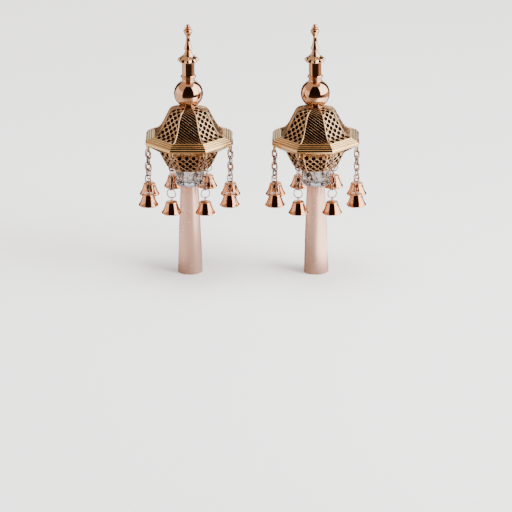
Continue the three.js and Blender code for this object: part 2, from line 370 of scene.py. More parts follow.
@functools.cache
def handling_group() -> Tree:
    """Builds the group that clouds a metal: tone, smears in the polish and tiny dents.

    Returns:
        A node tree with Tone, Deep tone, Scale, Gloss and Smear inputs and Colour, Roughness and
        Height outputs.
    """
    tree = bpy.data.node_groups.new("Handling", "ShaderNodeTree")
    sockets = tree.interface.new_socket
    for name in ("Tone", "Deep tone"):
        sockets(name=name, in_out="INPUT", socket_type="NodeSocketColor")
    for name in ("Scale", "Gloss", "Smear"):
        sockets(name=name, in_out="INPUT", socket_type="NodeSocketFloat")
    sockets(name="Colour", in_out="OUTPUT", socket_type="NodeSocketColor")
    for name in ("Roughness", "Height"):
        sockets(name=name, in_out="OUTPUT", socket_type="NodeSocketFloat")
    inputs = tree.nodes.new("NodeGroupInput").outputs
    outputs = tree.nodes.new("NodeGroupOutput").inputs
    place = add_node(tree, "TexCoord").outputs["Object"]
    cloud = add_node(tree, "TexNoise", {"Detail": 4.0})
    grain = add_node(tree, "TexNoise", {"Detail": 6.0})
    finer = add_node(tree, "Math", {1: GRAIN_FINENESS}, operation="MULTIPLY")
    mask = add_node(tree, "MapRange", {"From Min": 0.35, "From Max": 0.75})
    blend = add_node(tree, "Mix", data_type="RGBA")
    polish = add_node(tree, "Math", operation="MULTIPLY_ADD")
    connect(tree, (place, cloud.inputs["Vector"]), (place, grain.inputs["Vector"]),
            (inputs["Scale"], cloud.inputs["Scale"]), (inputs["Scale"], finer.inputs[0]),
            (finer.outputs[0], grain.inputs["Scale"]), (cloud.outputs["Fac"], mask.inputs["Value"]),
            (mask.outputs["Result"], blend.inputs["Factor"]), (inputs["Tone"], blend.inputs["A"]),
            (inputs["Deep tone"], blend.inputs["B"]), (blend.outputs["Result"], outputs["Colour"]),
            (grain.outputs["Fac"], polish.inputs[0]), (inputs["Smear"], polish.inputs[1]),
            (inputs["Gloss"], polish.inputs[2]), (polish.outputs[0], outputs["Roughness"]),
            (grain.outputs["Fac"], outputs["Height"]))
    return tree


def handled(finish: "Finish") -> tuple[bpy.types.Material, Node, Node]:
    """Makes a finish's material, its colour and roughness taken from the handling group.

    Args:
        finish: gives the name, the two tones, the scale, the gloss and the smear.

    Returns:
        The material, its shader and its handling node.
    """
    material = bpy.data.materials.new(finish.name)
    material.use_nodes = True
    tree = material.node_tree
    shader = tree.nodes["Principled BSDF"]
    worn = add_node(tree, "Group", node_tree=handling_group())
    worn.inputs["Tone"].default_value = (*finish.tone, 1.0)
    worn.inputs["Deep tone"].default_value = (*finish.deep, 1.0)
    worn.inputs["Scale"].default_value = finish.scale
    worn.inputs["Gloss"].default_value = finish.gloss
    worn.inputs["Smear"].default_value = finish.smear
    connect(tree, (worn.outputs["Colour"], shader.inputs["Base Color"]),
            (worn.outputs["Roughness"], shader.inputs["Roughness"]))
    return material, shader, worn


@dataclass(frozen=True)
class Metal:
    """A plated metal finish.

    Attributes:
        name: the material's name.
        tone: base colour, linear.
        deep: colour of its duller clouds, linear.
        gloss: lowest roughness.
        smear: how much the polish varies.
        scale: how fine the clouds are, per metre.
        dent: strength of the bump.
        metallic: how much of it is bare metal and how much is matt lacquer.
    """

    name: str
    tone: Colour
    deep: Colour
    gloss: float
    smear: float
    scale: float = 60.0
    dent: float = 0.05
    metallic: float = 1.0

    def make(self) -> bpy.types.Material:
        """Builds the material round the shared handling group."""
        material, shader, worn = handled(self)
        tree = material.node_tree
        shader.inputs["Metallic"].default_value = self.metallic
        bump = add_node(tree, "Bump", {"Strength": self.dent, "Distance": DENT_DEPTH})
        connect(tree, (worn.outputs["Height"], bump.inputs["Height"]),
                (bump.outputs["Normal"], shader.inputs["Normal"]))
        return material


@dataclass(frozen=True)
class Crystal:
    """Clear cut crystal.

    Attributes:
        name: the material's name.
        tone: base colour, linear.
        deep: colour of its fainter clouds, linear.
        gloss: lowest roughness.
        smear: roughness of its polishing waves.
        scale: how fine the clouds are, per metre.
        index: index of refraction.
    """

    name: str
    tone: Colour = (0.93, 0.94, 0.95)
    deep: Colour = (0.70, 0.72, 0.74)
    gloss: float = 0.0
    smear: float = 0.03
    scale: float = 40.0
    index: float = 1.55

    def make(self) -> bpy.types.Material:
        """Builds the material, clear all through, with faint polishing waves."""
        material, shader, _ = handled(self)
        shader.inputs["Metallic"].default_value = 0.0
        shader.inputs["Transmission Weight"].default_value = 1.0
        shader.inputs["IOR"].default_value = self.index
        return material


Finish = Metal | Crystal
ROSE = Metal("Rose gold polish", (0.80, 0.47, 0.29), (0.68, 0.37, 0.21), 0.03, 0.05)
SATIN = Metal("Satin rose gold", (0.88, 0.54, 0.41), (0.83, 0.49, 0.36), 0.24, 0.05, 30.0, 0.01, 0.65)
PALE = Metal("Pale gold", (0.92, 0.64, 0.30), (0.82, 0.51, 0.21), 0.12, 0.10)
LACE = Metal("Openwork gold", (0.88, 0.60, 0.36), (0.66, 0.39, 0.20), 0.20, 0.16, 140.0, 0.25)
# Painted shade: a near-black finish put on inward faces and on a sheet behind the piercings, where
# shade falls.
PAINTED_SHADE = Metal("Openwork painted shade", (0.035, 0.017, 0.009), (0.02, 0.01, 0.005), 0.60, 0.20)
# Painted shade: a darker gold for the steep facets of the brim's mouldings.
STEEP_SHADE_GOLD = Metal("Painted shade gold", (0.44, 0.25, 0.11), (0.30, 0.16, 0.07), 0.18, 0.12)
PETAL = Metal("Petal gold", (0.86, 0.56, 0.34), (0.68, 0.40, 0.22), 0.07, 0.10)
COPPER = Metal("Copper polish", (0.78, 0.39, 0.21), (0.64, 0.28, 0.13), 0.03, 0.06)
WIRE = Metal("Chain wire", (0.44, 0.29, 0.24), (0.26, 0.16, 0.12), 0.10, 0.12, 200.0)
CLEAR = Crystal("Cut crystal")


@functools.cache
def material_of(finish: Finish) -> bpy.types.Material:
    """Gives a finish's material, made the first time it is asked for."""
    return finish.make()


def paint(shape: Shape, finish: Finish, inner: Finish | None = None,
          test: FaceTest | None = None) -> None:
    """Puts a finish on a shape, and a second one on the faces that pass a test.

    Args:
        shape: what to paint.
        finish: the finish of its outside.
        inner: the finish of the faces that pass.
        test: takes a face's centre and normal and says whether it passes.
    """
    shape.data.materials.append(material_of(finish))
    if inner and test:
        shape.data.materials.append(material_of(inner))
        for face in shape.data.polygons:
            face.material_index = int(test(face.center, face.normal))


@dataclass
class Piece:
    """A finished piece of the left finial.

    Attributes:
        node: the frame node it stands for, without its side.
        shape: the Blender object.
        slot: its material slot.
    """

    node: str
    shape: Shape
    slot: str


@dataclass
class SubAssembly:
    """Parts of the left finial, filed under the frame node that they stand for.

    Attributes:
        finish: the finish of all parts, unless the sub-assembly dresses them itself.
        parts: the shapes of each node.
    """

    finish: ClassVar[Finish] = ROSE
    parts: dict[str, list[Shape]] = field(default_factory=dict, init=False, repr=False)

    def build(self) -> None:
        """Models the parts."""
        raise NotImplementedError

    def dress(self) -> None:
        """Paints every part in the sub-assembly's finish."""
        for shapes in self.parts.values():
            for shape in shapes:
                paint(shape, self.finish)

    def pieces(self, ending: str, slot: str) -> list[Piece]:
        """Joins each node's parts into one piece.

        Args:
            ending: what is added to a node's name.
            slot: the pieces' material slot.

        Returns:
            One piece for each node.
        """
        return [Piece(node, joined(f"left_{node}_{ending}", shapes), slot)
                for node, shapes in self.parts.items()]


# Turned pieces

@dataclass
class Sleeve(SubAssembly):
    """The flared sleeve, open below, with a rolled foot.

    Attributes:
        wall: thickness of its sheet.
        taper: how much narrower its top is than its foot.
        flare: how far its middle stands out from a straight cone.
    """

    finish = SATIN
    wall: float = 1.5 * MM
    taper: float = 4.6 * MM
    flare: float = 0.35 * MM

    def build(self) -> None:
        """Spins the sleeve's wall."""
        low, high = span("left_sleeve")
        foot = reach("left_sleeve")
        top, soft = foot - self.taper, 0.4 * MM
        middle = (foot + top) / 2 + self.flare
        outside = curve_through([(foot, low + soft), (middle, (low + high) / 2), (top, high)], 8)
        inside = [(r - self.wall, z) for r, z in reversed(outside)]
        lip = [(foot - self.wall + 0.3 * MM, low), (foot - soft, low), outside[0]]
        ring = turned("sleeve_wall", outside + inside + lip, 96)
        self.parts["sleeve"] = [smooth(ring)]


@dataclass
class CrystalCollar(SubAssembly):
    """The cut crystal drum with flutes up its wall and a ring of beads round its foot.

    Attributes:
        flutes: number of leaf-shaped flutes.
        columns: steps of the spin in one flute.
        rows: steps up a flute.
        depth: depth of a flute.
        groove: depth of the cut between two flutes.
        bevel: height of the bevelled edges.
        taper: how much narrower its foot is than its top.
        bead: radius of a bead.
        beads: number of beads.
    """

    finish = CLEAR
    flutes: int = 8
    columns: int = 12
    rows: int = 8
    depth: float = 1.7 * MM
    groove: float = 0.45 * MM
    bevel: float = 1.8 * MM
    taper: float = 1.2 * MM
    bead: float = 1.5 * MM
    beads: int = 32

    def build(self) -> None:
        """Spins the drum, presses its flutes in and sets the beads."""
        low, high = span("left_crystal_collar")
        top = reach("left_crystal_collar")
        foot, tall = top - self.taper, high - low - 2 * self.bevel
        shares = [i / self.rows for i in range(self.rows + 1)]
        wall = [(foot + self.taper * share, low + self.bevel + tall * share) for share in shares]
        drum = turned("crystal_drum", [
            (0.0, low), (foot - 2 * self.bevel, low), (foot - self.bevel, low + 0.2 * MM), *wall,
            (top - self.bevel, high), (0.0, high)], self.columns * self.flutes)
        self._flute(drum, low + self.bevel, tall)
        beads = self._bead_ring(low + self.bead, foot - 0.9 * self.bead)
        self.parts["crystal_collar"] = [smooth(drum, 24), *beads]

    def _flute(self, drum: Shape, low: float, tall: float) -> None:
        """Cuts a groove beside each flute and presses a leaf-shaped hollow into it, row by row."""
        reopen(drum)
        for row in range(1, self.rows):
            self._press(drum, 0, low + tall * row / self.rows, self.groove)
        for column in range(1, self.columns):
            for row in range(1, self.rows):
                across = abs(2 * column / self.columns - 1)
                width = math.sin(math.pi * row / self.rows) ** ROUNDNESS
                if across < width:
                    share = 1 - (across / width) ** 2
                    self._press(drum, column, low + tall * row / self.rows, self.depth * share)
        close()

    def _press(self, drum: Shape, column: int, height: float, depth: float) -> None:
        """Draws in the vertices of the wall that lie on one column and at one height."""
        def wanted(place: Vector) -> bool:
            """Says whether a place is on this column and at this height of the wall."""
            angle = math.atan2(place.y, place.x - AXIS) / TAU * self.flutes * self.columns
            return abs(place.z - height) < NEAR and round(angle) % self.columns == column

        spread(drum, wanted, 1 - depth / reach("left_crystal_collar"))

    def _bead_ring(self, height: float, radius: float) -> list[Shape]:
        """Makes one bead and copies it round the foot."""
        deselect()
        bpy.ops.mesh.primitive_uv_sphere_add(segments=12, ring_count=8, radius=self.bead,
                                             location=(AXIS + radius, 0.0, height))
        first = begin("bead")
        close()
        return ringed(smooth(first, 60), self.beads)


@dataclass
class BallAndNeck(SubAssembly):
    """The polished ball with its collar and the plain neck above.

    Attributes:
        seat: radius of the ball's level seats.
        step: how far the collar's lower ring stands in from its flange.
    """

    seat: float = 8.0 * MM
    step: float = 1.8 * MM

    def build(self) -> None:
        """Spins the ball, the collar and the neck."""
        self.parts["ball"] = [self._ball()]
        self.parts["ball_collar"] = [self._collar()]
        self.parts["neck"] = [self._neck()]

    def _ball(self) -> Shape:
        """Spins the ball between its two seats."""
        low, high = span("left_ball")
        radius = math.hypot((high - low) / 2, self.seat)
        edge = math.degrees(math.acos(self.seat / radius))
        profile = [(0.0, low), *arc((0.0, (low + high) / 2), radius, -edge, edge, 40), (0.0, high)]
        return smooth(turned("ball_skin", profile, 80))

    def _collar(self) -> Shape:
        """Spins the flange over a narrower ring that hugs the ball."""
        low, high = span("left_ball_collar")
        radius, tall = reach("left_ball_collar"), high - low
        ring, flange, inner = 0.19 * tall, 0.15 * tall, reach("left_ball_collar") - self.step
        profile = [
            (0.0, low), (self.seat, low),
            *arc((inner - ring, low + 0.3 * tall), ring, -70, 70, 8),
            (inner - 1.1 * MM, low + 0.55 * tall),
            *arc((radius - flange, low + 0.75 * tall), flange, -70, 80, 8),
            (radius - 1.5 * MM, high), (0.0, high),
        ]
        return smooth(turned("collar_rings", profile, 64))

    def _neck(self) -> Shape:
        """Spins the neck with a soft edge at each end."""
        low, high = span("left_neck")
        radius, soft = reach("left_neck"), 0.25 * MM
        profile = [(0.0, low), (radius - soft, low), (radius, low + soft), (radius, high - soft),
                   (radius - soft, high), (0.0, high)]
        return smooth(turned("neck_tube", profile, 64))


@dataclass
class Spire(SubAssembly):
    """The turned tip: bead, waisted baluster, bulb, disc and tip bead.

    Attributes:
        knots: radius in millimetres and share of the height of each turn of the profile.
    """

    knots: tuple[Point, ...] = (
        (4.2, 0.0), (4.6, 0.03), (3.7, 0.075), (5.5, 0.125), (5.3, 0.16), (3.6, 0.3), (2.4, 0.5),
        (3.3, 0.6), (5.1, 0.69), (5.9, 0.76), (4.4, 0.815), (1.9, 0.84), (4.3, 0.86), (3.9, 0.885),
        (1.5, 0.905), (2.6, 0.935), (2.5, 0.965), (1.5, 0.99), (0.0, 1.0))

    def build(self) -> None:
        """Spins the spire through its knots."""
        low, high = span("left_spire")
        knots = [(radius * MM, low + (high - low) * share) for radius, share in self.knots]
        profile = [(0.0, low), *((max(r, 0.0), z) for r, z in curve_through(knots, 5))]
        profile[-1] = (0.0, high)
        self.parts["spire"] = [smooth(turned("spire_skin", profile, 48), 50)]


@dataclass
class PetalCap(SubAssembly):
    """The canopy of petals that curl down over the neck.

    Attributes:
        petals: number of petals.
        columns: steps of the spin in one petal.
        radius: mean radius of the petals' tips.
        drop: how far the lip hangs below the neck's top.
        depth: how far a petal stands out from the notches beside it.
        rib: depth of the crease between two petals.
        throat: radius of its underside, where it rests on the neck.
        crown: radius of its top, under the spire.
        still: radius up to which nothing is drawn out or in.
        start: radius from which the petals part.
    """

    finish = PETAL
    petals: int = 8
    columns: int = 12
    radius: float = 13.6 * MM
    drop: float = 2.6 * MM
    depth: float = 0.8 * MM
    rib: float = 0.25 * MM
    throat: float = 8.6 * MM
    crown: float = 4.4 * MM
    still: float = 5.2 * MM
    start: float = 9.2 * MM

    def build(self) -> None:
        """Spins the canopy and draws its petals out."""
        high, top_of_neck = span("left_petal_cap")[1], span("left_neck")[1]
        lip, rise = top_of_neck - self.drop, high - top_of_neck
        outside = curve_through([
            (self.radius - 1.5 * MM, lip + 0.3 * MM), (self.radius, lip + 1.5 * MM),
            (self.radius * 0.86, top_of_neck + rise * 0.24),
            (self.radius * 0.54, top_of_neck + rise * 0.54), (self.crown, high)], 6)
        profile = [(0.0, top_of_neck), (self.throat, top_of_neck),
                   (self.radius - 2.2 * MM, lip + 0.9 * MM), *outside, (0.0, high)]
        cap = turned("cap_petals", profile, self.petals * self.columns)
        self._draw_petals(cap)
        self.parts["petal_cap"] = [smooth(cap, 40)]

    def _draw_petals(self, cap: Shape) -> None:
        """Scales each column of every petal by how far out and how near its middle it is."""
        reopen(cap)
        places = bmesh.from_edit_mesh(cap.data).verts
        rings = sorted({round(math.hypot(v.co.x - AXIS, v.co.y), 6) for v in places})
        outer = [ring for ring in rings if ring > self.still]
        for column in range(self.columns):
            swing = math.cos(TAU * column / self.columns)
            crease = self.rib * (column == self.columns // 2)
            for ring in outer:
                share = min(1.0, max(0.0, (ring - self.start) / (self.radius - self.start)))
                self._shift_ring(cap, column, ring, self.depth * share * swing - crease)
        close()

    def _shift_ring(self, cap: Shape, column: int, ring: float, shift: float) -> None:
        """Moves the vertices of one ring that lie on one column of the petals out by a shift."""
        def wanted(place: Vector) -> bool:
            """Says whether a place is on this ring and column."""
            angle = math.atan2(place.x - AXIS, -place.y) / TAU * self.petals * self.columns
            on_ring = abs(math.hypot(place.x - AXIS, place.y) - ring) < NEAR
            return on_ring and round(angle) % self.columns == column

        spread(cap, wanted, 1 + shift / ring)


# The lantern

LOOKING = 0.3            # cosine from which a face counts as looking in a direction
SQUARELY = 0.5           # the same, for the faces inside the brim that look at the axis
SLIVER = 0.12 * MM       # length under which a cut edge of the sheet is closed up
SPREAD = 2.5             # size of the sheet before it is cut, beside the panel's length


class Tiling(Enum):
    """How a lantern panel is pierced.

    Each value gives a tile's width and height in millimetres, the rows' slant in degrees, how much
    is cut off a tile's corners, and half the metal left between two holes.
    """

    ROSETTE = (6.4, 6.4, 45.0, 1.6, 0.34)
    LATTICE = (62.0, 3.1, -37.0, 0.0, 0.38)


def faces_inside(heart: Vector) -> FaceTest:
    """Makes the test for faces that look at the lantern's heart."""
    def looks_in(centre: Vector, normal: Vector) -> bool:
        """Says whether a face looks inwards."""
        return normal.dot((heart - centre).normalized()) > LOOKING
    return looks_in


@dataclass
class Openwork(SubAssembly):
    """A pierced eight-sided shell, folded from flat panels, with a dark sheet of painted shade behind
    it.

    A plate closes its small end.

    Attributes:
        node: the frame node it stands for.
        path: corner radius and height of each fold, from the foot up.
        tilings: the panels' piercings, in turn round the shell, front first.
        plate: corner radius and height of the plate's outline.
        sheet: thickness of the metal.
        hip: radius of the raised rib along each corner.
        shade_sheet: size of the dark sheet of painted shade beside the shell's.
        gauge: how much smaller the dark sheet's inner face is, on the same scale.
        lift: height of the dark sheet's foot above the shell's.
    """

    node: str
    path: list[Point]
    tilings: tuple[Tiling, ...]
    plate: list[Point]
    sheet: float = 1.1 * MM
    hip: float = 0.8 * MM
    shade_sheet: float = 0.955
    gauge: float = 0.012
    lift: float = 0.3 * MM

    def build(self) -> None:
        """Makes one panel for each tiling, copies them round and adds ribs, plate and the dark sheet of
        painted shade.
        """
        masters = {tiling: self._panel(tiling) for tiling in dict.fromkeys(self.tilings)}
        panels = [copied(masters[self.tilings[i % len(self.tilings)]], f"panel_{i}", TAU * i / SIDES)
                  for i in range(SIDES)]
        for master in masters.values():
            bpy.data.objects.remove(master)
        rib = rod("rib", self.path, self.hip)
        turn(rib, HALF_SIDE)
        plate = smooth(eight_sided("plate", self.plate))
        self.parts[self.node] = [self._shade_sheet(), *panels, plate, *ringed(rib, SIDES)]

    def dress(self) -> None:
        """Gilds the outside and paints shade on the inward faces and on the dark sheet behind the
        piercings.
        """
        heart = Vector((AXIS, 0.0, span("left_brim")[1]))
        shade_sheet, *outside = self.parts[self.node]
        # painted shade: the sheet behind the piercings and the shell's inward faces are near-black,
        # where shade falls
        paint(shade_sheet, PAINTED_SHADE)
        for shape in outside:
            paint(shape, LACE, PAINTED_SHADE, faces_inside(heart))

    def _shade_sheet(self) -> Shape:
        """Spins the thin dark sheet of painted shade that closes the piercings from behind."""
        foot, inner = self.path[0][1] + self.lift, self.shade_sheet - self.gauge

        def drawn_in(size: float) -> list[Point]:
            """Gives the shell's path at a smaller size, its foot at the same height."""
            return [(radius * size, foot + (height - foot) * size) for radius, height in self.path]

        outline = drawn_in(self.shade_sheet) + drawn_in(inner)[::-1]
        return eight_sided("shade_sheet", [*outline, outline[0]])

    def _panel(self, tiling: Tiling) -> Shape:
        """Pierces and folds one panel facing the front.

        Args:
            tiling: how it is pierced.

        Returns:
            The panel, solid and smooth, in place on the left finial's front.
        """
        flat = [(radius * math.cos(HALF_SIDE), height) for radius, height in self.path]
        lengths = [math.dist(a, b) for a, b in zip(flat, flat[1:])]
        angles = [math.atan2(b[1] - a[1], a[0] - b[0]) for a, b in zip(flat, flat[1:])]
        creases = [sum(lengths[:i]) for i in range(1, len(lengths))]
        panel = self._tiles(tiling, sum(lengths))
        *_, web = tiling.value
        self._pierce(panel, web * MM)
        for crease, before, after in reversed(list(zip(creases, angles, angles[1:]))):
            self._fold(panel, crease, after - before)
        bpy.ops.object.mode_set(mode="OBJECT")
        stand = Matrix.Translation((AXIS, -flat[0][0], flat[0][1])) @ Matrix.Rotation(angles[0], 4, "X")
        panel.data.transform(stand)
        self._trim(panel, flat)
        modify(panel, "SOLIDIFY", thickness=self.sheet, offset=-1.0, use_even_offset=True)
        modify(panel, "SUBSURF", levels=1, render_levels=1)
        return smooth(panel, 50)

    def _tiles(self, tiling: Tiling, total: float) -> Shape:
        """Lays a flat sheet of tiles larger than the panel.

        Args:
            tiling: how it is pierced.
            total: the panel's length from foot to top.

        Returns:
            The sheet, in edit mode, its foot on the X axis.
        """
        wide, tall, slant, corner, _ = tiling.value
        across = SPREAD * total / MM
        columns, rows = 2 * math.ceil(across / wide / 2), 2 * math.ceil(across / tall / 2)
        deselect()
        bpy.ops.mesh.primitive_grid_add(x_subdivisions=columns, y_subdivisions=rows, size=1.0)
        sheet = begin(f"tiles_{tiling.name.lower()}")
        bpy.ops.transform.resize(value=(columns * wide * MM, rows * tall * MM, 1.0),
                                 center_override=(0, 0, 0))
        if corner:
            bpy.ops.mesh.bevel(offset=corner * MM, affect="VERTICES", segments=1)
        bpy.ops.object.mode_set(mode="OBJECT")
        sheet.data.transform(Matrix.Translation((0.0, total / 2, 0.0))
                             @ Matrix.Rotation(math.radians(slant), 4, "Z")
                             @ Matrix.Translation((wide * MM / 2, 0.0, 0.0)))
        bpy.ops.object.mode_set(mode="EDIT")
        return sheet

    def _fold(self, panel: Shape, crease: float, angle: float) -> None:
        """Folds all of a flat panel beyond a crease by an angle."""
        bpy.ops.mesh.select_all(action="SELECT")
        bpy.ops.mesh.bisect(plane_co=(0.0, crease, 0.0), plane_no=(0.0, 1.0, 0.0))
        if pick(panel, lambda place: place.y > crease):
            bpy.ops.transform.rotate(value=-angle, orient_axis="X", center_override=(0.0, crease, 0.0))

    def _trim(self, panel: Shape, flat: Sequence[Point]) -> None:
        """Cuts a folded panel along its two corners, its foot and its top."""
        reopen(panel)
        cos, sin = math.cos(HALF_SIDE), math.sin(HALF_SIDE)
        axis, level = (AXIS, 0.0, 0.0), flat[-1][0] > flat[0][0] / 2
        top = (0.0, 0.0, 1.0) if level else (0.0, 1.0, 0.0)
        cuts = ((axis, (cos, sin, 0.0)), (axis, (-cos, sin, 0.0)),
                ((AXIS, 0.0, flat[0][1]), (0.0, 0.0, -1.0)), ((AXIS, -flat[-1][0], flat[-1][1]), top))
        for place, normal in cuts:
            bpy.ops.mesh.select_all(action="SELECT")
            bpy.ops.mesh.bisect(plane_co=place, plane_no=normal, clear_outer=True)
        bpy.ops.mesh.select_all(action="SELECT")
        bpy.ops.mesh.remove_doubles(threshold=SLIVER)
        bpy.ops.object.mode_set(mode="OBJECT")

    def _pierce(self, panel: Shape, web: float) -> None:
        """Insets every tile of an open sheet by the web and takes its middle out."""
        bpy.ops.mesh.select_mode(type="FACE")
        bpy.ops.mesh.select_all(action="SELECT")
        if bmesh.from_edit_mesh(panel.data).faces[:][0].normal.z < 0:
            bpy.ops.mesh.flip_normals()
        bpy.ops.mesh.inset(thickness=web, use_individual=True, use_even_offset=True)
        bpy.ops.mesh.delete(type="FACE")


@dataclass
class Brim(SubAssembly):
    """The wide moulded brim with a chain eye under each corner.

    Attributes:
        bowl: corner radius where the bowl joins.
        roof: corner radius where the roof's flared foot joins.
        under: rise of its underside.
        edge: height of its rolled edge.
        ridges: mouldings round its top.
        facets: steps across a moulding.
        swell: height of a moulding.
        soft: width of its bevelled edges.
        sheet: thickness of the metal.
        eye_in: how far a chain's eye is in from the corner.
        eye_up: height of an eye's centre above the brim's foot.
        eye: outer width and height of an eye.
        wire: thickness of an eye's wire.
        shade_slopes: least and greatest upward share of the normals of the moulding's steep facets that
            get painted shade.
    """

    bowl: float = 40.5 * MM
    roof: float = ROOF_FOOT
    under: float = 11.2 * MM
    edge: float = 5.6 * MM
    ridges: int = 3
    facets: int = 4
    swell: float = 1.6 * MM
    soft: float = 0.2 * MM
    sheet: float = 1.5 * MM
    eye_in: float = 3.2 * MM
    eye_up: float = 8.75 * MM
    eye: Point = (6.2 * MM, 8.2 * MM)
    wire: float = 1.5 * MM
    shade_slopes: Point = (0.3, 0.7)

    def build(self) -> None:
        """Spins the brim, rounds its edges and hangs the eyes."""
        low, high = span("left_openwork_bowl")[1], span("left_brim")[1] - ROOF_FLARE_DROP
        corner = reach("left_brim") / math.cos(HALF_SIDE)
        edge_foot, edge_top = low + self.under, low + self.under + self.edge
        half, back = self.edge / 2, corner - 3 * self.sheet
        roll = arc((corner - half, edge_foot + half), half, -62, 72, 7)
        steps = self.facets * self.ridges
        top = [self._moulding(roll[-1], (self.roof, high), i / steps) for i in range(1, steps + 1)]
        mouth = self.roof - self.sheet
        ring = eight_sided("brim_ring", [
            (self.bowl - self.sheet, low), (self.bowl, low), *roll, *top, (mouth, high),
            (mouth, high - 2 * self.sheet), (back, edge_top - self.sheet),
            (back, edge_foot + self.sheet), (self.bowl - self.sheet, low + self.sheet),
            (self.bowl - self.sheet, low)])
        modify(ring, "BEVEL", width=self.soft, segments=2, limit_method="ANGLE",
               angle_limit=math.radians(24))
        eye_at = (corner - self.eye_in, low + self.eye_up)
        first = wire_link("eye", *self.eye, self.wire, eye_at)
        turn(first, -math.pi / 2 + HALF_SIDE)
        self.parts["brim"] = [smooth(ring, 30), *ringed(first, SIDES)]

    def dress(self) -> None:
        """Gilds the brim, with painted shade on its mouldings' steep facets and on its inside faces."""
        low, lap = span("left_openwork_bowl")[1], 1.2 * self.sheet
        floor, rim = low + self.under + lap, low + self.under + self.edge
        ceiling = rim - lap
        least, most = self.shade_slopes

        def shaded_inside(centre: Vector, normal: Vector) -> bool:
            """Says whether a face is inside the brim, where it gets painted shade."""
            outward = Vector((centre.x - AXIS, centre.y, 0.0)).normalized()
            return (normal.dot(outward) < -SQUARELY or (normal.z > LOOKING and centre.z < floor)
                    or (normal.z < -LOOKING and centre.z > ceiling))

        ring, *eyes = self.parts["brim"]
        # painted shade: the faces inside the brim are near-black, where shade falls
        paint(ring, PALE, PAINTED_SHADE, shaded_inside)
        # painted shade: the steep facets of the mouldings get a darker gold
        ring.data.materials.append(material_of(STEEP_SHADE_GOLD))
        for face in ring.data.polygons:
            if face.center.z > rim and least < face.normal.z < most:
                face.material_index = 2
        for eye in eyes:
            paint(eye, PALE)

    def _moulding(self, start: Point, end: Point, share: float) -> Point:
        """Gives a point of the brim's top, a share of the way from its edge to the roof."""
        swell = self.swell * abs(math.sin(math.pi * self.ridges * share)) ** ROUNDNESS
        return (start[0] + (end[0] - start[0]) * share,
                start[1] + (end[1] - start[1]) * share + swell * (share < 1.0))


# Chains and bells

def wire_link(name: str, wide: float, tall: float, wire: float, place: Point,
              facing: float = 0.0) -> Shape:
    """Makes an upright oval link of round wire beside the left axis.

    Args:
        name: the piece's name.
        wide: outer width.
        tall: outer height.
        wire: thickness of the wire.
        place: radius and height of its centre.
        facing: turn about its own upright axis; 0 lets it be seen face on from beside the axis.

    Returns:
        The link.
    """
    deselect()
    bpy.ops.mesh.primitive_torus_add(
        align="WORLD", major_segments=24, minor_segments=8, major_radius=(wide - wire) / 2,
        minor_radius=wire / 2, rotation=(0.0, math.pi / 2, facing))
    link = begin(name)
    stretch = (tall - wide) / 2
    for way in (1.0, -1.0):
        pick(link, lambda at, way=way: at.z * way > NEAR)
        bpy.ops.transform.translate(value=(0.0, 0.0, way * stretch))
    close()
    link.data.transform(Matrix.Translation((AXIS + place[0], 0.0, place[1])))
    return smooth(link, 60)


@dataclass
class Chain(SubAssembly):
    """The links and the bell's ring under one corner.

    Attributes:
        number: the corner's number, from the front left round by the front right.
        at: distance of the chain from the finial's axis.
        links: number of links.
        link: outer width and height of a link.
        wire: thickness of a link's wire.
        ring: outer size of the bell's ring.
        ring_wire: thickness of the ring's wire.
        top: height of the highest link's centre below the chain's top.
        pitch: drop from one link to the next.
        sway: most that a link turns from square, in degrees.
    """

    finish = WIRE
    number: int = 1
    at: float = 58.0 * MM
    links: int = 5
    link: Point = (7.8 * MM, 11.8 * MM)
    wire: float = 1.6 * MM
    ring: float = 13.4 * MM
    ring_wire: float = 1.4 * MM
    top: float = 6.2 * MM
    pitch: float = 8.72 * MM
    sway: float = 14.0

    def build(self) -> None:
        """Hangs the links below each other, each a quarter turn from the last."""
        low, high = span("left_chain_1")
        parts = []
        for i in range(self.links):
            quarter = math.pi / 2 if (self.links - i) % 2 else 0.0
            sway = math.radians(self.sway) * math.sin(2.3 * i + 1.7 * self.number)
            place = (self.at, high - self.top - self.pitch * i)
            parts.append(wire_link(f"link_{i}", *self.link, self.wire, place, quarter + sway))
        parts.append(wire_link("ring", self.ring, self.ring, self.ring_wire,
                               (self.at, low + self.ring / 2)))
        for part in parts:
            turn(part, corner_turn(self.number))
        self.parts[f"chain_{self.number}"] = parts


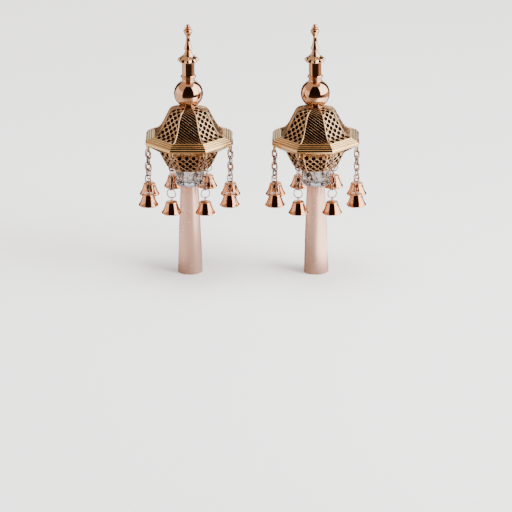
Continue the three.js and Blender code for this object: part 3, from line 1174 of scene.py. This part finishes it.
@dataclass
class Bells(SubAssembly):
    """The small bells, each with a loop and a clapper.

    Attributes:
        at: distance of a bell from the finial's axis, a little less than its ring's.
        height: from lip to crown.
        wall: thickness of the bell.
        loop: outer width and height of its loop.
        loop_wire: thickness of the loop's wire.
        clapper: radius of the clapper's ball.
        stem: radius of the clapper's rod.
        lip: outer radius of the rolled lip.
        roll: radius of the lip's roll.
        knots: radius and drop below the crown, in millimetres, down the outside.
    """

    finish = COPPER
    at: float = 57.4 * MM
    height: float = 16.0 * MM
    wall: float = 0.9 * MM
    loop: Point = (4.8 * MM, 7.4 * MM)
    loop_wire: float = 1.1 * MM
    clapper: float = 2.5 * MM
    stem: float = 0.6 * MM
    lip: float = 13.1 * MM
    roll: float = 0.8 * MM
    knots: tuple[Point, ...] = (
        (6.3, 0.0), (7.5, 1.1), (8.4, 4.6), (9.8, 9.0), (11.4, 12.6), (12.7, 14.5))

    def build(self) -> None:
        """Makes one bell and hangs a copy under each corner."""
        low = span("left_bell_1")[0]
        crown = low + self.height
        place = (self.at, crown - self.wall + self.loop[1] / 2)
        loop = wire_link("loop", *self.loop, self.loop_wire, place, math.pi / 2)
        bell = joined("bell", [self._shell(low, crown), loop, self._clapper(low, crown)])
        for number in range(1, SIDES + 1):
            hung = copied(bell, f"bell_copy_{number}", corner_turn(number))
            self.parts[f"bell_{number}"] = [hung]
        bpy.data.objects.remove(bell)

    def _shell(self, low: float, crown: float) -> Shape:
        """Spins the bell's thin wall with its rolled lip."""
        outside = curve_through([(r * MM, crown - drop * MM) for r, drop in self.knots], 4)
        roll = arc((self.lip - self.roll, low + self.roll), self.roll, 60, -120, 6)
        inside = [(r - self.wall, z - 0.3 * self.wall) for r, z in reversed(outside[3:])]
        profile = [(0.0, crown), *outside, *roll, *inside,
                   (5.4 * MM, crown - self.wall), (0.0, crown - self.wall)]
        shell = smooth(turned("bell_shell", profile, 48), 40)
        shell.data.transform(Matrix.Translation((self.at, 0.0, 0.0)))
        return shell

    def _clapper(self, low: float, crown: float) -> Shape:
        """Spins the clapper: a ball on a thin rod."""
        ball, top = self.clapper, crown - 0.5 * MM
        profile = [*arc((0.0, low + ball + 0.2 * MM), ball, -90, 74, 14), (self.stem, top), (0.0, top)]
        clapper = smooth(turned("clapper", profile, 20), 60)
        clapper.data.transform(Matrix.Translation((self.at, 0.0, 0.0)))
        return clapper


# The whole finial

def corner_turn(number: int) -> float:
    """Gives the turn from the +X side to a corner: 1 is the front left, 2 the front right."""
    return (2 * number - 3) * HALF_SIDE - math.pi / 2


def raised(level: float, knots: Sequence[Point]) -> list[Point]:
    """Turns radii and heights in millimetres over a level into points in metres."""
    return [(radius * MM, level + height * MM) for radius, height in knots]


def lantern_bowl() -> Openwork:
    """Gives the lantern's bowl, its path taken from the frame's heights."""
    low, high = span("left_openwork_bowl")
    path = [*raised(low, ((26.5, 0), (30.9, 5.4), (34.5, 12))), (40.5 * MM, high)]
    plate = raised(low, ((0, 0), (26.2, 0), (26.6, 0.8), (26.0, 1.5), (0, 1.5)))
    return Openwork("openwork_bowl", path, (Tiling.ROSETTE,), plate)


def lantern_roof() -> Openwork:
    """Gives the lantern's roof, its path taken from the frame's heights."""
    low, high = span("left_openwork_roof")
    path = [(ROOF_FOOT, low - ROOF_FLARE_DROP), *raised(low, (
        (44.6, 0.6), (39.8, 5), (36.0, 11), (28.2, 26.4), (26.6, 29.4), (23.4, 32.2),
        (17.5, 34.4))), (9.0 * MM, high)]
    plate = raised(high, ((0, -1.4), (9.6, -1.4), (10.4, -0.8), (9.6, 0), (0, 0)))
    return Openwork("openwork_roof", path, (Tiling.LATTICE, Tiling.ROSETTE), plate)


def build_left() -> list[Piece]:
    """Builds and dresses every sub-assembly of the left finial, from the foot up.

    Returns:
        One piece for each frame node.
    """
    plan: list[tuple[SubAssembly, str, str]] = [
        (Sleeve(), "skin", "satin_rose"),
        (CrystalCollar(), "cut", "crystal"),
        (lantern_bowl(), "pierced", "openwork_gold"),
        (Brim(), "moulded", "pale_gold"),
        (lantern_roof(), "pierced", "openwork_gold"),
        (BallAndNeck(), "polished", "rose_gold"),
        (PetalCap(), "curled", "rose_gold"),
        (Spire(), "turned", "rose_gold"),
        (Bells(), "spun", "copper"),
        *((Chain(number), "wire", "chain_wire") for number in range(1, SIDES + 1)),
    ]
    pieces: list[Piece] = []
    for assembly, ending, slot in plan:
        assembly.build()
        assembly.dress()
        pieces.extend(assembly.pieces(ending, slot))
        log.info("built and dressed %s", type(assembly).__name__)
    return pieces


def settle(piece: Piece, side: str) -> None:
    """Puts one side's copy of a piece in the frame, on its body, and hides the frame node it stands
    for.

    Args:
        piece: the left finial's piece.
        side: "left" or "right".
    """
    shape = piece.shape
    if side == "right":
        shape = copied(piece.shape, piece.shape.name.replace("left", "right", 1))
        shape.data.transform(Matrix.Translation((SPACING, 0.0, 0.0)))
    shape.data.name = shape.name
    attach(shape, "root")
    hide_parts(f"{side}_{piece.node}")
    log.info("%s: %d faces", shape.name, len(shape.data.polygons))


# Studio

BandStops = tuple[tuple[float, Colour, float], ...]

NIGHT = (0.020, 0.012, 0.010)
SHADE = (0.05, 0.035, 0.03)
DUSK = (0.040, 0.022, 0.016)
GLOOM = (0.05, 0.03, 0.025)
WHITE = (1.4, 1.4, 1.4)
SENSOR = 36.0            # width of the camera's sensor, in millimetres
PHOTO_SIZE = 512         # width of the photograph, in pixels


def from_distance(start: float, *stops: tuple[float, Colour]) -> BandStops:
    """Gives all colours of a ring of the floor the same distance from which they show."""
    return tuple((at, colour, start) for at, colour in stops)


@dataclass
class Studio:
    """Floor, light and camera.

    Attributes:
        distance: from the camera to the point it looks at.
        elevation: of the camera, in degrees.
        azimuth: of the camera, in degrees to the right of the front.
        roll: lean of the camera, in degrees.
        across: millimetres on the finials for one pixel of the photograph.
        aim: the point that the photograph's centre shows.
        walls: the room's colours round the horizon, from 0 in front of the finials by their left
            (0.25), behind them (0.5) and their right (0.75) to the front again, each with the
            height where it ends, as the sine of the elevation.
        ceiling: the room's colour overhead.
        ground: painted reflection: the colours that the floor glows with to glossy rays only, each
            with the distance from which they show.
        apron: the same for the floor nearer by.
        under: the painted reflection that the floor glows with between and close to the finials.
        floor: width of the floor.
        pale: the floor's own colour.
        matt: the floor's roughness.
        backdrop: what the camera sees beyond the floor.
        heart: the point that the lights shine at.
        wall_fade: height over which a wall goes over into the ceiling.
        apron_fade: distance over which the floor's middle goes over into the apron.
        ground_fade: distance over which the apron goes over into the ground.
    """

    distance: float = 12.0
    elevation: float = 19.5
    azimuth: float = 1.3
    roll: float = -0.45
    across: float = 1.31
    aim: tuple[float, float, float] = (3.7 * MM, 0.0, 20.4 * MM)
    walls: BandStops = (
        (0.00, NIGHT, 0.92), (0.125, NIGHT, 0.92), (0.14, (1.7, 1.4, 1.2), 0.36),
        (0.33, (2.0, 1.7, 1.5), 0.36), (0.36, SHADE, 0.5), (0.42, SHADE, 0.5),
        (0.45, WHITE, 0.7), (0.55, WHITE, 0.7), (0.58, SHADE, 0.8), (0.64, SHADE, 0.8),
        (0.66, (6.0, 5.9, 5.8), 0.8), (0.865, (6.5, 6.4, 6.3), 0.8), (0.88, NIGHT, 0.92),
        (1.0, NIGHT, 0.92))
    ceiling: Colour = (0.75, 0.58, 0.46)
    ground: BandStops = from_distance(
        0.5, (0.00, DUSK), (0.135, DUSK), (0.155, (1.5, 1.2, 1.0)), (0.35, (1.2, 1.0, 0.85)),
        (0.375, GLOOM), (0.45, GLOOM), (0.48, (1.0, 0.85, 0.75)), (0.52, (1.0, 0.85, 0.75)),
        (0.55, GLOOM), (0.625, GLOOM), (0.65, (0.9, 0.72, 0.6)), (0.72, (0.9, 0.72, 0.6)),
        (0.78, (0.55, 0.4, 0.32)), (0.85, DUSK), (1.0, DUSK))
    apron: BandStops = from_distance(
        0.12, (0.00, (0.55, 0.42, 0.36)), (0.09, (0.70, 0.56, 0.49)), (0.20, (1.3, 1.1, 1.0)),
        (0.35, (1.2, 1.0, 0.9)), (0.375, GLOOM), (0.45, GLOOM), (0.48, (1.2, 1.0, 0.9)),
        (0.52, (1.2, 1.0, 0.9)), (0.55, GLOOM), (0.625, GLOOM), (0.66, (3.6, 3.4, 3.3)),
        (0.88, (5.2, 5.0, 4.9)), (0.94, (0.9, 0.75, 0.66)), (1.0, (0.55, 0.42, 0.36)))
    under: Colour = (0.12, 0.07, 0.05)
    floor: float = 14.0
    pale: Colour = (0.86, 0.86, 0.86)
    matt: float = 0.6
    backdrop: Colour = (1.6, 1.6, 1.6)
    heart: tuple[float, float, float] = (0.0, 0.0, 0.17)
    wall_fade: float = 0.05
    apron_fade: float = 0.06
    ground_fade: float = 0.2

    def build(self) -> None:
        """Makes the floor, the surroundings, the lights and the camera."""
        self._floor()
        self._surroundings()
        self._soft_light("Key", (1.7, -0.7, 1.3), size=1.0, power=75.0)
        self._soft_light("Top", (0.0, 0.0, 3.0), size=2.4, power=170.0)
        self._camera()

    def _bands(self, tree: Tree, place: Socket, stops: BandStops) -> Node:
        """Adds nodes that give a colour by the compass direction of a place.

        Args:
            tree: the node tree to add to.
            place: the socket that gives the place or direction.
            stops: the colours and their limits, from the front, by the left, round to the front.

        Returns:
            The ramp, whose Color is the colour and whose Alpha is its limit.
        """
        split = add_node(tree, "SeparateXYZ")
        compass = add_node(tree, "Math", operation="ARCTAN2")
        share = add_node(tree, "MapRange", {"From Min": -math.pi, "From Max": math.pi})
        bands = add_node(tree, "ValToRGB")
        ramp = bands.color_ramp
        while len(ramp.elements) > 1:
            ramp.elements.remove(ramp.elements[-1])
        for i, (at, colour, limit) in enumerate(stops):
            stop = ramp.elements[0] if i == 0 else ramp.elements.new(at)
            stop.position = at
            stop.color = (*colour, limit)
        connect(tree, (place, split.inputs["Vector"]), (split.outputs["X"], compass.inputs[0]),
                (split.outputs["Y"], compass.inputs[1]), (compass.outputs[0], share.inputs["Value"]),
                (share.outputs["Result"], bands.inputs["Fac"]))
        return bands

    def _beyond(self, tree: Tree, value: Socket, limit: Socket, soft: float) -> Socket:
        """Adds nodes that go from 0 to 1 as a value passes a limit.

        Args:
            tree: the node tree to add to.
            value: the socket that gives the value.
            limit: the socket that gives the limit.
            soft: how far past the limit 1 is reached.

        Returns:
            The socket that goes from 0 to 1.
        """
        top, step = add_node(tree, "Math", {1: soft}), add_node(tree, "MapRange")
        connect(tree, (limit, top.inputs[0]), (value, step.inputs["Value"]),
                (limit, step.inputs["From Min"]), (top.outputs[0], step.inputs["From Max"]))
        return step.outputs["Result"]

    def _blend(self, tree: Tree, factor: Socket, first: Socket | Colour,
               second: Socket | Colour) -> Socket:
        """Adds a node that blends two colours.

        Args:
            tree: the node tree to add to.
            factor: the socket that goes from 0, the first colour, to 1, the second.
            first: a colour or the socket that gives one.
            second: the same.

        Returns:
            The socket that gives the blend.
        """
        blend = add_node(tree, "Mix", data_type="RGBA")
        connect(tree, (factor, blend.inputs["Factor"]))
        for name, colour in (("A", first), ("B", second)):
            if isinstance(colour, tuple):
                blend.inputs[name].default_value = (*colour, 1.0)
            else:
                connect(tree, (colour, blend.inputs[name]))
        return blend.outputs["Result"]

    def _choose(self, tree: Tree, ray: str, usual: Socket, shown: Socket, end: Socket) -> None:
        """Shows one shader to one kind of ray and the usual one to all others.

        Args:
            tree: the node tree to add to.
            ray: the light path's name for that kind of ray.
            usual: the shader for all other rays.
            shown: the shader for that kind of ray.
            end: the output's socket.
        """
        light_path, either = add_node(tree, "LightPath"), add_node(tree, "MixShader")
        connect(tree, (light_path.outputs[ray], either.inputs["Fac"]), (usual, either.inputs[1]),
                (shown, either.inputs[2]), (either.outputs["Shader"], end))

    def _floor(self) -> None:
        """Lays a plain pale floor that, to glossy rays only, glows with painted reflection: the room's
        bands carried on over it.
        """
        deselect()
        bpy.ops.mesh.primitive_plane_add(size=self.floor, location=(0.0, 0.0, 0.0))
        floor = bpy.context.active_object
        floor.name = "Floor"
        material = bpy.data.materials.new("Floor pale")
        material.use_nodes = True
        tree = material.node_tree
        shader = tree.nodes["Principled BSDF"]
        shader.inputs["Base Color"].default_value = (*self.pale, 1.0)
        shader.inputs["Roughness"].default_value = self.matt
        place = add_node(tree, "TexCoord").outputs["Object"]
        away = add_node(tree, "VectorMath", operation="LENGTH")
        connect(tree, (place, away.inputs[0]))
        colour: Socket | Colour = self.under
        for stops, soft in ((self.apron, self.apron_fade), (self.ground, self.ground_fade)):
            bands = self._bands(tree, place, stops)
            past = self._beyond(tree, away.outputs["Value"], bands.outputs["Alpha"], soft)
            colour = self._blend(tree, past, colour, bands.outputs["Color"])
        # painted reflection: the floor glows with these bands, seen only in the polish
        reflection_glow = add_node(tree, "Emission")
        connect(tree, (colour, reflection_glow.inputs["Color"]))
        self._choose(tree, "Is Glossy Ray", shader.outputs["BSDF"], reflection_glow.outputs["Emission"],
                     tree.nodes["Material Output"].inputs["Surface"])
        floor.data.materials.append(material)

    def _surroundings(self) -> None:
        """Makes a pale room whose dark front and bright panels show in the polish."""
        world = bpy.data.worlds.new("Studio")
        world.use_nodes = True
        bpy.context.scene.world = world
        tree = world.node_tree
        tree.nodes.clear()
        place = add_node(tree, "TexCoord").outputs["Generated"]
        split, room = add_node(tree, "SeparateXYZ"), add_node(tree, "Background")
        backdrop = add_node(tree, "Background", {"Color": (*self.backdrop, 1.0)})
        bands = self._bands(tree, place, self.walls)
        above = self._beyond(tree, split.outputs["Z"], bands.outputs["Alpha"], self.wall_fade)
        colour = self._blend(tree, above, bands.outputs["Color"], self.ceiling)
        connect(tree, (place, split.inputs["Vector"]), (colour, room.inputs["Color"]))
        self._choose(tree, "Is Camera Ray", room.outputs["Background"],
                     backdrop.outputs["Background"], add_node(tree, "OutputWorld").inputs["Surface"])

    def _soft_light(self, name: str, place: Sequence[float], size: float, power: float) -> None:
        """Adds a square soft light that shines at the finials and doesn't show in the polish."""
        deselect()
        bpy.ops.object.light_add(type="AREA", location=place)
        light = bpy.context.active_object
        light.name = name
        light.data.size = size
        light.data.energy = power
        light.visible_glossy = False
        towards = Vector(self.heart) - Vector(place)
        light.rotation_euler = towards.to_track_quat("-Z", "Y").to_euler()

    def _camera(self) -> None:
        """Puts the camera at the photograph's angle, with the photograph's centre as its aim."""
        tilt, swing = math.radians(self.elevation), math.radians(self.azimuth)
        back = Vector((math.cos(tilt) * math.sin(swing), -math.cos(tilt) * math.cos(swing),
                       math.sin(tilt)))
        lean = Quaternion((0.0, 0.0, 1.0), math.radians(self.roll))
        bpy.ops.object.camera_add(location=Vector(self.aim) + back * self.distance)
        camera = bpy.context.active_object
        camera.name = "Camera"
        camera.rotation_euler = ((-back).to_track_quat("-Z", "Y") @ lean).to_euler()
        camera.data.sensor_width = SENSOR
        camera.data.lens = SENSOR * self.distance / (PHOTO_SIZE * self.across * MM)
        bpy.context.scene.camera = camera


def main() -> None:
    """Builds, dresses and places both finials, then the studio."""
    logging.basicConfig(level=logging.INFO, format="%(name)s: %(message)s")
    pieces = build_left()
    for side in ("right", "left"):
        for piece in pieces:
            settle(piece, side)
    Studio().build()


if __name__ == "__main__":
    main()
